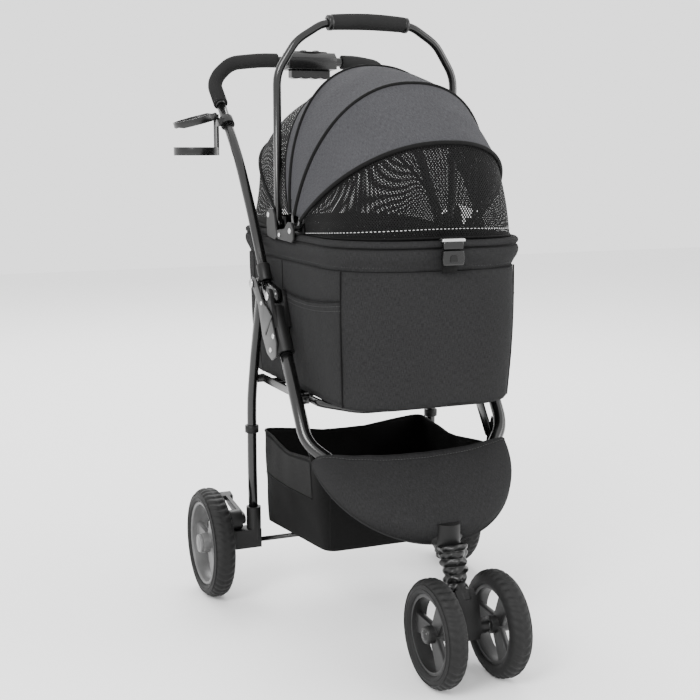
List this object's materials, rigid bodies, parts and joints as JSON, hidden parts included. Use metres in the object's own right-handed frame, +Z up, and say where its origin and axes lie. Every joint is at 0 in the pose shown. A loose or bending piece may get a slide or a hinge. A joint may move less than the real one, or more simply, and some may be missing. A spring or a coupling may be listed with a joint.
{
  "type": "pet stroller",
  "caption": "Folding three-wheel pet stroller with a lift-off carrier, fabric canopy and mesh window, carry handle, push bar, basket and cup holder.",
  "frame": {"origin": "on the floor under the middle of the wheels and push bar", "axes": "+Z up, the small front wheels and the canopy window face -Y, +X across"},
  "size_m": [0.516, 0.7364, 0.9803],
  "materials": {
    "painted_tube": "satin",
    "gloss_black": "gloss",
    "matte_black": "matte",
    "foam": "matte foam",
    "tyre": "matte",
    "rim_silver": "satin",
    "rim_dark": "satin",
    "steel": "brushed",
    "plate": "satin grey",
    "charcoal_linen": "heathered weave",
    "grey_linen": "heathered weave",
    "mesh": "open mesh",
    "board": "matte"
  },
  "bodies": {
    "chassis": {"front_leg_l": "painted_tube", "front_leg_r": "painted_tube", "fork_head": "matte_black", "knuckle_l": "matte_black", "knuckle_r": "matte_black", "gusset_plates": "plate", "cradle_frame": "painted_tube", "fold_links": "painted_tube", "foot_cover": "charcoal_linen", "basket": "mesh", "hinge_pins": "steel", "leg_pivot_bolts": "steel"},
    "handle": {"push_tube_l": "painted_tube", "push_tube_r": "painted_tube", "handlebar": "painted_tube", "grip_l": "foam", "grip_r": "foam", "handle_module": "gloss_black", "cup_holder": "gloss_black"},
    "rear_legs": {"rear_leg_l": "painted_tube", "rear_leg_r": "painted_tube", "rear_axle_rod": "painted_tube", "rear_bracket_l": "matte_black", "rear_bracket_r": "matte_black"},
    "lever": {"squeeze_lever": "gloss_black"},
    "sleeves": {"latch_sleeves": "matte_black"},
    "caster": {"caster_stem": "matte_black", "suspension_boot": "foam"},
    "suspension": {"caster_block": "matte_black", "front_axle": "steel"},
    "front_wheel_l": {"front_tyre_l": "tyre", "front_rim_l": "rim_dark"},
    "front_wheel_r": {"front_tyre_r": "tyre", "front_rim_r": "rim_dark"},
    "rear_wheel_l": {"rear_tyre_l": "tyre", "rear_rim_l": "rim_silver", "rear_hub_cap_l": "rim_silver"},
    "rear_wheel_r": {"rear_tyre_r": "tyre", "rear_rim_r": "rim_silver", "rear_hub_cap_r": "rim_silver"},
    "brake_l": {"brake_pedal_l": "matte_black"},
    "brake_r": {"brake_pedal_r": "matte_black"},
    "carrier": {"tub": "charcoal_linen", "base_board": "board", "cushion": "charcoal_linen", "rim_frame": "charcoal_linen", "rear_mesh": "mesh", "rear_hoop": "painted_tube", "side_brackets": "matte_black", "buckle_base": "matte_black", "back_hoop": "painted_tube", "canopy_rear": "grey_linen"},
    "bail": {"bail_tube": "painted_tube", "bail_grip": "foam"},
    "hood_front": {"front_hoop": "painted_tube", "canopy_front": "grey_linen", "mesh_front": "mesh", "buckle_clip": "matte_black"},
    "hood_middle": {"middle_hoop": "painted_tube", "canopy_middle": "grey_linen"}
  },
  "joints": [
    {"name": "handle_fold", "type": "hinge", "parent": "chassis", "child": "handle", "pos_m": [0, 0.04, 0.538], "axis": [1, 0, 0], "range_deg": [0, 155]},
    {"name": "rear_leg_fold", "type": "hinge", "parent": "chassis", "child": "rear_legs", "pos_m": [0, 0.105, 0.552], "axis": [1, 0, 0], "range_deg": [-38, 0]},
    {"name": "lever_squeeze", "type": "slide", "parent": "handle", "child": "lever", "axis": [0, 0, 1], "range_m": [0, 0.006], "stiffness_N_per_m": 400, "springref_m": -0.008},
    {"name": "latch_slide", "type": "slide", "parent": "handle", "child": "sleeves", "axis": [0, 0.5383, 0.8428], "range_m": [0, 0.007]},
    {"name": "caster_swivel", "type": "hinge", "parent": "chassis", "child": "caster", "pos_m": [0, -0.229, 0.2], "axis": [0, 0, 1], "continuous": true},
    {"name": "suspension_travel", "type": "slide", "parent": "caster", "child": "suspension", "axis": [0, 0.6635, 0.7482], "range_m": [0, 0.008], "stiffness_N_per_m": 9000, "springref_m": -0.012},
    {"name": "front_wheel_l_spin", "type": "hinge", "parent": "suspension", "child": "front_wheel_l", "pos_m": [0.051, -0.293, 0.08], "axis": [1, 0, 0], "continuous": true},
    {"name": "front_wheel_r_spin", "type": "hinge", "parent": "suspension", "child": "front_wheel_r", "pos_m": [-0.051, -0.293, 0.08], "axis": [1, 0, 0], "continuous": true},
    {"name": "rear_wheel_l_spin", "type": "hinge", "parent": "rear_legs", "child": "rear_wheel_l", "pos_m": [0.234, 0.203, 0.094], "axis": [1, 0, 0], "continuous": true},
    {"name": "rear_wheel_r_spin", "type": "hinge", "parent": "rear_legs", "child": "rear_wheel_r", "pos_m": [-0.234, 0.203, 0.094], "axis": [1, 0, 0], "continuous": true},
    {"name": "brake_l_press", "type": "hinge", "parent": "rear_legs", "child": "brake_l", "pos_m": [0.198, 0.168, 0.14], "axis": [-1, 0, 0], "range_deg": [0, 18]},
    {"name": "brake_r_press", "type": "hinge", "parent": "rear_legs", "child": "brake_r", "pos_m": [-0.198, 0.168, 0.14], "axis": [-1, 0, 0], "range_deg": [0, 18]},
    {"name": "carrier_lift", "type": "slide", "parent": "chassis", "child": "carrier", "axis": [0, 0, 1], "range_m": [0, 0.08]},
    {"name": "bail_swing", "type": "hinge", "parent": "carrier", "child": "bail", "pos_m": [0, 0.066, 0.65], "axis": [-1, 0, 0], "range_deg": [-5, 85]},
    {"name": "hood_front_swing", "type": "hinge", "parent": "carrier", "child": "hood_front", "pos_m": [0, -0.013, 0.648], "axis": [-1, 0, 0], "range_deg": [0, 44]},
    {"name": "hood_middle_swing", "type": "hinge", "parent": "carrier", "child": "hood_middle", "pos_m": [0, -0.013, 0.648], "axis": [-1, 0, 0], "range_deg": [0, 26]}
  ],
  "couplings": [
    {"joint": "rear_leg_fold", "follows": "handle_fold", "ratio": -0.245},
    {"joint": "latch_slide", "follows": "lever_squeeze", "ratio": 1.15},
    {"joint": "hood_middle_swing", "follows": "hood_front_swing", "ratio": 0.59}
  ]
}
